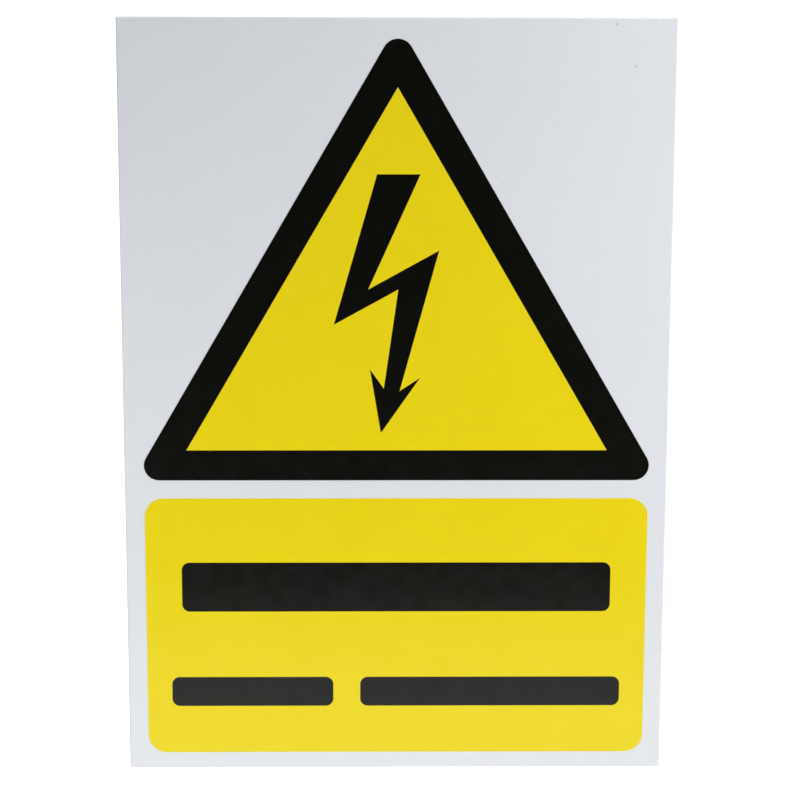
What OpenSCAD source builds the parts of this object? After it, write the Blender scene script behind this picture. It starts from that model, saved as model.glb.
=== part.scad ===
// Electrical hazard sign: one thin rigid sheet with a flat print on its front face.
// The sheet stands upright with its front towards -Y.
// The origin is the middle of the back face.

/* [Sheet] */
// Width of the sheet
sheet_w = 210; // [160:1:250]
// Height of the sheet
sheet_h = 297; // [270:1:420]
// Thickness of the sheet
sheet_t = 1; // [0.6:0.1:5]
// Radius that the cutting leaves along the front edges
edge_r = 0.5; // [0.1:0.05:0.55]

/* [Print layout] */
// Thickness of the printed film
ink_t = 0.08; // [0.04:0.01:0.3]
// Bare strip between the print and each side of the sheet
side_margin = 7.3; // [2:0.1:15]
// Bare strip above the triangle
top_margin = 8; // [2:0.1:15]
// Bare strip below the panel
bottom_margin = 6.6; // [2:0.1:15]
// Bare strip between the triangle and the panel
panel_gap = 7.3; // [2:0.1:15]
// How far the whole print sits to the right of the middle of the sheet
print_shift = 0.2; // [-1.5:0.1:1.5]

/* [Triangle] */
// Width of the black border
border_w = 12; // [6:0.1:18]
// Radius of the outer corners of the border
border_r = 5.9; // [1:0.1:11]

/* [Bolt] */
// Space between the top corner of the yellow field and the flat top of the bolt
bolt_top_space = 33; // [25:0.1:60]
// Space between the point of the bolt and the base of the yellow field
bolt_foot_space = 6.9; // [2:0.1:20]

/* [Panel] */
// Radius of the corners of the panel
panel_r = 7.3; // [1:0.1:15]
// Space between the upper bar and each side of the panel
upper_bar_inset = 14; // [5:0.1:40]
// Height of the upper bar
upper_bar_h = 20; // [8:0.1:28]
// Space between the lower bars and each side of the panel
lower_bar_inset = 9.6; // [5:0.1:40]
// Height of the lower bars
lower_bar_h = 12; // [7:0.1:20]
// Length of the shorter lower bar, on the left
short_bar_w = 63.4; // [20:0.1:100]
// Space between the two lower bars
lower_bar_gap = 10.6; // [3:0.1:30]
// Space between the upper bar and the lower bars
bar_spacing = 27; // [5:0.1:35]
// How far the group of bars sits below the middle of the panel
bars_drop = 3.3; // [-5:0.1:5]
// Radius of the corners of the bars
bar_r = 3; // [0.5:0.1:3.4]

/* [Hidden] */

sheet_white = "#e1e5e9";
print_yellow = "#e6d220";
print_black = "#101010";

$fn = 64;

print_w = sheet_w - 2 * side_margin;

// The distance from a triangle's centre to its corners is twice the distance to its sides.
// Rounding draws the two base corners in, so the sharp outline is a little wider than the print.
outer_inradius = (print_w + 2 * border_r * (sqrt(3) - 1)) / (2 * sqrt(3));
inner_inradius = outer_inradius - border_w;
triangle_z = sheet_h / 2 - top_margin - (2 * outer_inradius - border_r);
border_base_z = triangle_z - outer_inradius;
field_base_z = triangle_z - inner_inradius;

bolt_h = 3 * inner_inradius - bolt_top_space - bolt_foot_space;

panel_top_z = border_base_z - panel_gap;
panel_base_z = bottom_margin - sheet_h / 2;
panel_h = panel_top_z - panel_base_z;
panel_z = (panel_top_z + panel_base_z) / 2;

bars_h = upper_bar_h + bar_spacing + lower_bar_h;
bars_z = panel_z - bars_drop;
upper_bar_z = bars_z + (bars_h - upper_bar_h) / 2;
lower_bars_z = bars_z - (bars_h - lower_bar_h) / 2;
upper_bar_w = print_w - 2 * upper_bar_inset;
lower_bars_w = print_w - 2 * lower_bar_inset;
long_bar_w = lower_bars_w - lower_bar_gap - short_bar_w;

// Unit vector at an angle, anticlockwise from the right
function heading(angle) = [cos(angle), sin(angle)];

// Equilateral triangle on its base, around its centre
module sharp_triangle(inradius) {
    polygon([for (corner = [0:2]) 2 * inradius * heading(90 + 120 * corner)]);
}

// The same triangle with its corners rounded by arcs that touch the sides
module rounded_triangle(inradius, radius) {
    arc_centres = [for (corner = [0:2]) 2 * (inradius - radius) * heading(90 + 120 * corner)];
    polygon([
        for (corner = [0:2], turn = [-60, 60])
            arc_centres[corner] + radius * heading(90 + 120 * corner + turn)
    ]);
    for (centre = arc_centres)
        translate(centre) circle(radius);
}

// Rectangle with rounded corners, around its centre
module rounded_rectangle(width, height, radius) {
    square([width - 2 * radius, height], center = true);
    square([width, height - 2 * radius], center = true);
    for (side = [-1, 1], end = [-1, 1])
        translate([side * (width / 2 - radius), end * (height / 2 - radius)]) circle(radius);
}

// Section across the sheet: flat at the back, with its two front corners eased
module sheet_section(width) {
    translate([-width / 2, edge_r - sheet_t]) square([width, sheet_t - edge_r]);
    translate([edge_r - width / 2, -sheet_t]) square([width - 2 * edge_r, sheet_t]);
    for (side = [-1, 1])
        translate([side * (width / 2 - edge_r), edge_r - sheet_t]) circle(edge_r);
}

// Film on the front face, from a flat shape drawn across and up from the middle of the print
module film() {
    translate([print_shift, -sheet_t, 0]) rotate([90, 0, 0]) linear_extrude(ink_t) children();
}

// Clockwise from the left end of the flat top, in hundredths of the bolt's height:
// across from the middle of the print, and up from the point of the arrow
module bolt_shape() {
    corners = [
        [-7.7, 100], [8.6, 100], [-11, 56], [15.8, 71],
        [1, 16.5], [8.8, 21.7], [-6.1, 0], [-10.3, 25], [-5, 17.5],
        [0.4, 56], [-24, 42.4]
    ];
    translate([0, field_base_z + bolt_foot_space])
        polygon([for (corner = corners) corner * bolt_h / 100]);
}

module upper_bar_shape() {
    translate([0, upper_bar_z]) rounded_rectangle(upper_bar_w, upper_bar_h, bar_r);
}

module lower_bars_shape() {
    translate([(short_bar_w - lower_bars_w) / 2, lower_bars_z])
        rounded_rectangle(short_bar_w, lower_bar_h, bar_r);
    translate([(lower_bars_w - long_bar_w) / 2, lower_bars_z])
        rounded_rectangle(long_bar_w, lower_bar_h, bar_r);
}

// The upright and the level section cross, which eases all four front edges
module sheet() {
    color(sheet_white) intersection() {
        linear_extrude(sheet_h, center = true) sheet_section(sheet_w);
        rotate([0, 90, 0]) linear_extrude(sheet_w, center = true) sheet_section(sheet_h);
    }
}

module border() {
    color(print_black) film() translate([0, triangle_z]) difference() {
        rounded_triangle(outer_inradius, border_r);
        sharp_triangle(inner_inradius);
    }
}

module yellow_field() {
    color(print_yellow) film() difference() {
        translate([0, triangle_z]) sharp_triangle(inner_inradius);
        bolt_shape();
    }
}

module bolt() {
    color(print_black) film() bolt_shape();
}

module panel() {
    color(print_yellow) film() difference() {
        translate([0, panel_z]) rounded_rectangle(print_w, panel_h, panel_r);
        upper_bar_shape();
        lower_bars_shape();
    }
}

module upper_bar() {
    color(print_black) film() upper_bar_shape();
}

module lower_bars() {
    color(print_black) film() lower_bars_shape();
}

sheet();
border();
yellow_field();
bolt();
panel();
upper_bar();
lower_bars();
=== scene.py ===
"""Looks of a printed warning sign: the plastic sheet, the inks on it, the light and the camera."""
import math

import bpy
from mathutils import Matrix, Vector


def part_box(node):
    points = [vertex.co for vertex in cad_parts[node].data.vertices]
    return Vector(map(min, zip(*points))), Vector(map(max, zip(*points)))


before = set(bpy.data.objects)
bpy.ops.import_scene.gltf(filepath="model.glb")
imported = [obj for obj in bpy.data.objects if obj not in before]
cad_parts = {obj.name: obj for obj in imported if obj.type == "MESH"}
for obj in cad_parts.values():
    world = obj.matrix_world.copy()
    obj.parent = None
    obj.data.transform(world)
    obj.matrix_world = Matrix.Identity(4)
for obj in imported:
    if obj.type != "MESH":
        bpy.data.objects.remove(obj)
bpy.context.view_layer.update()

MM = 0.001

# ---- Camera ----

# It stands a little over a metre in front of the print and looks down on it
CAMERA_PLACE = (-15.34 * MM, -1064.0 * MM, 261.75 * MM)
CAMERA_TURN = tuple(math.radians(angle) for angle in (76.255, -0.196, -0.854))
CAMERA_LENS = 128.0

# ---- Colours, as linear values ----

WHITE = (1.0, 1.0, 1.0)
PURE_BLACK = (0.0, 0.0, 0.0)

# Each face is clouded from its colour to its shade
PLASTIC = (0.765, 0.79, 0.833)
PLASTIC_SHADE = (0.755, 0.78, 0.828)
YELLOW = (0.855, 0.695, 0.009)
YELLOW_SHADE = (0.84, 0.675, 0.007)
BLACK = (0.0046, 0.0046, 0.0034)
BLACK_SHADE = (0.0038, 0.0038, 0.0030)
# Black of the bars on the yellow panel, with a little less blue in it
BLACK_ON_YELLOW = (0.0044, 0.0044, 0.0022)
# Colour of the cut edges: partly their own greyer plastic, and partly painted shade that darkens every
# cut edge as if it lay in shadow
PLASTIC_CUT_AND_SHADE = (0.4, 0.41, 0.43)
DIRT = (0.45, 0.46, 0.48)

# ---- Noise ----

# Most values of a noise lie in this range
NOISE_LOW = 0.35
NOISE_HIGH = 0.65
# Layers of ever finer grains on top of a noise's own
SMOOTH = 1.0
CLOUDY = 2.0
GRAINY = 3.0
RAGGED = 4.0
# Grains of a noise that are drawn out along none of X, Y and Z
ROUND_GRAINS = (1, 1, 1)

# ---- Gloss ----

# Shiny surfaces of a new sign, whose roughness drifts a little from place to place
PLASTIC_ROUGHNESS = 0.15
PLASTIC_GLOSS_GRAIN = 9 * MM
INK_ROUGHNESS = 0.15
INK_GLOSS_GRAIN = 6 * MM
ROUGHNESS_DRIFT = 0.05
CUT_ROUGHNESS = 0.6
# Index of refraction of the inks, a little lower than that of the plastic
INK_IOR = 1.42

# Fine handling scratches: long drawn out noises, turned in the face by these angles in degrees, of
# which only the highest values count
HAIRLINE_WIDTH = 0.12 * MM
HAIRLINE_STRETCH = (1, 1, 120)
HAIRLINE_TURNS = (28, -55)
HAIRLINE_START = 0.72
HAIRLINE_FULL = 0.78
HAIRLINE_ROUGHNESS = 0.12

# ---- Inks ----

# Grain of the two noises between colour and shade, and how much of the shade each brings
INK_CLOUD = 24 * MM
INK_CLOUD_SHARE = 0.6
INK_MOTTLE = 0.9 * MM
INK_MOTTLE_SHARE = 0.4
# Relief: grain and strength of the ink's flow, and of the mesh that it was pressed through
INK_FLOW = 5 * MM
INK_FLOW_STRENGTH = 0.1
INK_MESH = 0.35 * MM
INK_MESH_STRENGTH = 0.12

# ---- Plastic ----

# Grain of the two noises between colour and shade, and how much of the shade each brings
PLASTIC_CLOUD = 45 * MM
PLASTIC_CLOUD_SHARE = 0.7
PLASTIC_STREAK = 1.6 * MM
PLASTIC_STREAK_STRETCH = (1, 1, 60)
PLASTIC_STREAK_SHARE = 0.3
# Relief of the faces: waves that the rolling left, along the height of the sheet
ROLLED_WAVE = 7 * MM
ROLLED_WAVE_STRETCH = (1, 1, 4)
ROLLED_WAVE_STRENGTH = 0.1
# Relief of the cut edges: scores that the saw left, across the thickness of the sheet
SAW_SCORE = 0.15 * MM
SAW_SCORE_STRETCH = (1, 12, 1)
SAW_SCORE_STRENGTH = 0.4
SAW_SCORE_DEPTH = 0.05 * MM
# How squarely a surface faces forwards or back: up to the first it is all cut edge, and from the
# second it is all face
CUT_FACING = 0.35
FACE_FACING = 0.8
# Depth of the relief on the faces and the inks
RELIEF_DEPTH = 0.01 * MM

# Faint marks on the bare plastic: middle across and up, half width and half height, in millimetres,
# and how much of the dirt's colour shows
MARKS = [
    (82.0, 146.0, 0.5, 0.6, 0.75),
    (89.45, 130.35, 0.45, 0.6, 0.8),
    (39.8, 86.3, 0.5, 0.5, 0.4),
    (59.2, 109.55, 1.3, 0.3, 0.2),
]
# A mark fades between these shares of the way from its middle to its rim
MARK_FADE_START = 0.5
MARK_FADE_END = 1.0

# ---- Studio: lengths in metres ----

# Strength at which white light is seen as white
WHITE_STRENGTH = 1.0
# Strength of the even light from all around
EVEN_LIGHT = 0.279

# A square floor this far below the middle of the sign
FLOOR_DROP = 0.5
FLOOR_SIZE = 40.0
FLOOR_COLOUR = (0.8, 0.8, 0.8)
FLOOR_ROUGHNESS = 0.9
# Where it is seen, the floor glows: weakly out to the first distance from its middle, and as white
# as the world from the second
NEAR_GLOW = 0.35
NEAR_GLOW_REACH = 0.4
WHITE_GLOW_REACH = 1.2

# An upright card in front of the sign
CARD_Y = -1.1
CARD_FOOT = -0.465
CARD_TOP = 0.6
CARD_HALF_WIDTH = 0.8

# Square lamps aimed at the middle of the sign: place and side in metres, and power in watts
LAMPS = {
    "key_lamp": ((0.6, -0.25, 0.2), 0.3, 3.9),
    "top_lamp": ((0.1, -0.05, 0.9), 0.3, 3.5),
    "side_lamp": ((-0.25, -0.25, -0.05), 0.16, 0.254),
    "back_lamp": ((0.5, 1.0, 0.5), 0.6, 9.0),
    "fill_lamp": ((-0.04, -0.3, -0.42), 0.16, 0.681),
}
# The fill lamp, low in front of the sign, is slightly warm
FILL_COLOUR = (1.0, 0.97, 0.88)


# ---- Materials ----

def opaque(colour):
    """The colour with the fourth number that a socket asks for."""
    return (*colour, 1.0)


class Surface:
    """A node material around one Principled shader, whose textures lie still on the object."""

    def __init__(self, name):
        self.material = bpy.data.materials.new(name)
        self.material.use_nodes = True
        self.tree = self.material.node_tree
        self.shader = self.tree.nodes["Principled BSDF"]
        self.place = self.node("ShaderNodeTexCoord").outputs["Object"]

    def node(self, kind, **settings):
        made = self.tree.nodes.new(kind)
        for key, value in settings.items():
            setattr(made, key, value)
        return made

    def link(self, output, socket):
        self.tree.links.new(output, socket)

    def noise(self, grain, detail=GRAINY, stretch=ROUND_GRAINS, turn=0.0):
        """Noise with grains this wide in metres, drawn out along X, Y and Z, then turned in the face."""
        mapping = self.node("ShaderNodeMapping", vector_type="TEXTURE")
        mapping.inputs["Rotation"].default_value = (0.0, math.radians(turn), 0.0)
        mapping.inputs["Scale"].default_value = tuple(grain * factor for factor in stretch)
        texture = self.node("ShaderNodeTexNoise")
        texture.inputs["Scale"].default_value = 1.0
        texture.inputs["Detail"].default_value = detail
        self.link(self.place, mapping.inputs["Vector"])
        self.link(mapping.outputs["Vector"], texture.inputs["Vector"])
        return texture.outputs["Fac"]

    def spread(self, value, low, high, start=NOISE_LOW, end=NOISE_HIGH):
        """Carries the range from start to end onto the range from low to high."""
        ranger = self.node("ShaderNodeMapRange")
        ranger.inputs["From Min"].default_value = start
        ranger.inputs["From Max"].default_value = end
        ranger.inputs["To Min"].default_value = low
        ranger.inputs["To Max"].default_value = high
        self.link(value, ranger.inputs["Value"])
        return ranger.outputs["Result"]

    def calculate(self, operation, first, second=None):
        """Result of a Math node on one or two values, each an output or a number."""
        made = self.node("ShaderNodeMath", operation=operation)
        for socket, value in zip(made.inputs, (first, second)):
            if isinstance(value, (int, float)):
                socket.default_value = value
            elif value is not None:
                self.link(value, socket)
        return made.outputs["Value"]

    def length(self, vector):
        made = self.node("ShaderNodeVectorMath", operation="LENGTH")
        self.link(vector, made.inputs[0])
        return made.outputs["Value"]

    def blend_colours(self, mask, low, high):
        """Colour that goes from low to high as the mask goes from 0 to 1."""
        mix = self.node("ShaderNodeMix", data_type="RGBA")
        sockets = {socket.identifier: socket for socket in (*mix.inputs, *mix.outputs)}
        self.link(mask, sockets["Factor_Float"])
        for name, colour in (("A_Color", low), ("B_Color", high)):
            if isinstance(colour, tuple):
                sockets[name].default_value = opaque(colour)
            else:
                self.link(colour, sockets[name])
        return sockets["Result_Color"]

    def bump(self, height, strength, depth, under=None):
        """Normal of a relief this deep, laid over the one under it."""
        made = self.node("ShaderNodeBump")
        made.inputs["Strength"].default_value = strength
        made.inputs["Distance"].default_value = depth
        self.link(height, made.inputs["Height"])
        if under is not None:
            self.link(under, made.inputs["Normal"])
        return made.outputs["Normal"]


def hairlines(surface):
    """1 on a few fine handling scratches that cross the face and its print, and 0 elsewhere."""
    layers = [surface.noise(HAIRLINE_WIDTH, GRAINY, HAIRLINE_STRETCH, turn) for turn in HAIRLINE_TURNS]
    scratched = surface.calculate("MAXIMUM", *layers)
    return surface.spread(scratched, 0.0, 1.0, HAIRLINE_START, HAIRLINE_FULL)


def worn_gloss(surface, grain, roughness):
    """Roughness that drifts a little from place to place and is higher on the hairlines."""
    drift = surface.spread(surface.noise(grain, RAGGED), roughness, roughness + ROUGHNESS_DRIFT)
    scratches = surface.calculate("MULTIPLY", hairlines(surface), HAIRLINE_ROUGHNESS)
    return surface.calculate("ADD", drift, scratches)


def ink(name, colour, shade):
    """A screen-printed field: faintly clouded, with the fine unevenness of the mesh it went through."""
    surface = Surface(name)
    cloud = surface.spread(surface.noise(INK_CLOUD, CLOUDY), 0.0, INK_CLOUD_SHARE)
    mottle = surface.spread(surface.noise(INK_MOTTLE), 0.0, INK_MOTTLE_SHARE)
    tone = surface.calculate("ADD", cloud, mottle)
    surface.link(surface.blend_colours(tone, colour, shade), surface.shader.inputs["Base Color"])

    surface.shader.inputs["IOR"].default_value = INK_IOR
    gloss = worn_gloss(surface, INK_GLOSS_GRAIN, INK_ROUGHNESS)
    surface.link(gloss, surface.shader.inputs["Roughness"])

    flow = surface.bump(surface.noise(INK_FLOW, SMOOTH), INK_FLOW_STRENGTH, RELIEF_DEPTH)
    mesh = surface.bump(surface.noise(INK_MESH), INK_MESH_STRENGTH, RELIEF_DEPTH, under=flow)
    surface.link(mesh, surface.shader.inputs["Normal"])
    return surface.material


def dirt_mask(surface):
    """How much of the dirt's colour shows: each mark's own depth, and 0 elsewhere."""
    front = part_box("sheet")[0][1]
    mask = None
    for across, up, half_width, half_height, depth in MARKS:
        centred = surface.node("ShaderNodeMapping", vector_type="TEXTURE")
        centred.inputs["Location"].default_value = (across * MM, front, up * MM)
        centred.inputs["Scale"].default_value = (half_width * MM, MM, half_height * MM)
        surface.link(surface.place, centred.inputs["Vector"])
        distance = surface.length(centred.outputs["Vector"])
        mark = surface.spread(distance, depth, 0.0, MARK_FADE_START, MARK_FADE_END)
        mask = mark if mask is None else surface.calculate("MAXIMUM", mask, mark)
    return mask


def cut_mask(surface):
    """1 on the cut edges of the sheet, and 0 on its two faces."""
    facing = surface.node("ShaderNodeSeparateXYZ")
    geometry = surface.node("ShaderNodeNewGeometry")
    surface.link(geometry.outputs["Normal"], facing.inputs["Vector"])
    squareness = surface.calculate("ABSOLUTE", facing.outputs["Y"])
    return surface.spread(squareness, 1.0, 0.0, CUT_FACING, FACE_FACING)


def plastic():
    """Smooth rolled sheet with square cut edges that are duller and a little greyer, and darkened
    further with painted shade.
    """
    surface = Surface("sheet_plastic_look")
    cut = cut_mask(surface)

    cloud = surface.spread(surface.noise(PLASTIC_CLOUD, CLOUDY), 0.0, PLASTIC_CLOUD_SHARE)
    streaks = surface.noise(PLASTIC_STREAK, stretch=PLASTIC_STREAK_STRETCH)
    tone = surface.calculate("ADD", cloud, surface.spread(streaks, 0.0, PLASTIC_STREAK_SHARE))
    face = surface.blend_colours(tone, PLASTIC, PLASTIC_SHADE)
    # The cut edges take their colour over the face: grey, with painted shade in it
    cut_grey_and_shade = surface.blend_colours(cut, face, PLASTIC_CUT_AND_SHADE)
    dirty = surface.blend_colours(dirt_mask(surface), cut_grey_and_shade, DIRT)
    surface.link(dirty, surface.shader.inputs["Base Color"])

    face_gloss = worn_gloss(surface, PLASTIC_GLOSS_GRAIN, PLASTIC_ROUGHNESS)
    cut_gloss = surface.calculate("MULTIPLY", cut, CUT_ROUGHNESS)
    rough = surface.calculate("MAXIMUM", face_gloss, cut_gloss)
    surface.link(rough, surface.shader.inputs["Roughness"])

    waves = surface.noise(ROLLED_WAVE, SMOOTH, ROLLED_WAVE_STRETCH)
    waved = surface.bump(waves, ROLLED_WAVE_STRENGTH, RELIEF_DEPTH)
    scores = surface.calculate("MULTIPLY", cut, surface.noise(SAW_SCORE, stretch=SAW_SCORE_STRETCH))
    scored = surface.bump(scores, SAW_SCORE_STRENGTH, SAW_SCORE_DEPTH, under=waved)
    surface.link(scored, surface.shader.inputs["Normal"])
    return surface.material


def dress(node, material):
    """Gives a CAD node its material."""
    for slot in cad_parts[node].material_slots:
        slot.material = material


# ---- Studio ----

def seen_directly(tree):
    """1 for rays from the camera, and for those that reach it by a reflection or through glass."""
    path = tree.nodes.new("ShaderNodeLightPath")
    seen = path.outputs["Is Camera Ray"]
    for name in ("Is Glossy Ray", "Is Transmission Ray"):
        either = tree.nodes.new("ShaderNodeMath")
        either.operation = "MAXIMUM"
        tree.links.new(seen, either.inputs[0])
        tree.links.new(path.outputs[name], either.inputs[1])
        seen = either.outputs["Value"]
    return seen


def add_world():
    """White where it is seen, and an even soft light on the object."""
    world = bpy.data.worlds.new("pale_world")
    world.use_nodes = True
    bpy.context.scene.world = world
    tree = world.node_tree
    background = tree.nodes["Background"]
    background.inputs["Color"].default_value = opaque(WHITE)
    strength = tree.nodes.new("ShaderNodeMapRange")
    strength.inputs["To Min"].default_value = EVEN_LIGHT
    strength.inputs["To Max"].default_value = WHITE_STRENGTH
    tree.links.new(seen_directly(tree), strength.inputs["Value"])
    tree.links.new(strength.outputs["Result"], background.inputs["Strength"])


def add_quad(name, corners, material):
    """One flat face that belongs to the studio."""
    mesh = bpy.data.meshes.new(name)
    mesh.from_pydata(corners, [], [(0, 1, 2, 3)])
    mesh.materials.append(material)
    quad = bpy.data.objects.new(name, mesh)
    bpy.context.scene.collection.objects.link(quad)
    return quad


def floor_look():
    """Pale and matt, lifted to white where it is seen, so that only the shadow shows on it."""
    surface = Surface("pale_floor")
    surface.shader.inputs["Base Color"].default_value = opaque(FLOOR_COLOUR)
    surface.shader.inputs["Roughness"].default_value = FLOOR_ROUGHNESS
    surface.shader.inputs["Emission Color"].default_value = opaque(WHITE)
    reach = surface.length(surface.place)
    glow = surface.spread(reach, NEAR_GLOW, WHITE_STRENGTH, NEAR_GLOW_REACH, WHITE_GLOW_REACH)
    shown = surface.calculate("MULTIPLY", seen_directly(surface.tree), glow)
    surface.link(shown, surface.shader.inputs["Emission Strength"])
    return surface.material


def add_floor():
    half = FLOOR_SIZE / 2
    corners = [(-half, -half, 0), (half, -half, 0), (half, half, 0), (-half, half, 0)]
    floor = add_quad("pale_floor", corners, floor_look())
    floor.location.z = -FLOOR_DROP


def add_dark_card():
    """Keeps the upper part of the print from mirroring the pale floor. Only reflections show it."""
    surface = Surface("dark_card")
    surface.shader.inputs["Base Color"].default_value = opaque(PURE_BLACK)
    surface.shader.inputs["Specular IOR Level"].default_value = 0.0
    corners = [
        (-CARD_HALF_WIDTH, CARD_Y, CARD_FOOT),
        (CARD_HALF_WIDTH, CARD_Y, CARD_FOOT),
        (CARD_HALF_WIDTH, CARD_Y, CARD_TOP),
        (-CARD_HALF_WIDTH, CARD_Y, CARD_TOP),
    ]
    card = add_quad("dark_card", corners, surface.material)
    for ray in ("camera", "diffuse", "shadow", "transmission", "volume_scatter"):
        setattr(card, "visible_" + ray, False)


def add_lamp(name, place, side, power):
    """A square lamp aimed at the middle of the sign."""
    data = bpy.data.lights.new(name, "AREA")
    data.shape = "SQUARE"
    data.size = side
    data.energy = power
    lamp = bpy.data.objects.new(name, data)
    lamp.location = place
    lamp.rotation_euler = (-Vector(place)).to_track_quat("-Z", "Y").to_euler()
    lamp.visible_camera = False
    bpy.context.scene.collection.objects.link(lamp)
    return lamp


def add_camera():
    data = bpy.data.cameras.new("camera")
    data.lens = CAMERA_LENS
    camera = bpy.data.objects.new("camera", data)
    camera.location = CAMERA_PLACE
    camera.rotation_euler = CAMERA_TURN
    bpy.context.scene.collection.objects.link(camera)
    bpy.context.scene.camera = camera


# ---- Dress the sign and light it ----

dress("sheet", plastic())
for node in ("yellow_field", "panel"):
    dress(node, ink(node + "_ink", YELLOW, YELLOW_SHADE))
for node in ("border", "bolt"):
    dress(node, ink(node + "_ink", BLACK, BLACK_SHADE))
for node in ("upper_bar", "lower_bars"):
    dress(node, ink(node + "_ink", BLACK_ON_YELLOW, BLACK_SHADE))

bpy.context.scene.view_settings.view_transform = "Standard"
add_world()
add_floor()
add_dark_card()
lamps = {name: add_lamp(name, *values) for name, values in LAMPS.items()}
# The print would mirror the fill lamp, so reflections don't show it
lamps["fill_lamp"].data.color = FILL_COLOUR
lamps["fill_lamp"].visible_glossy = False
add_camera()
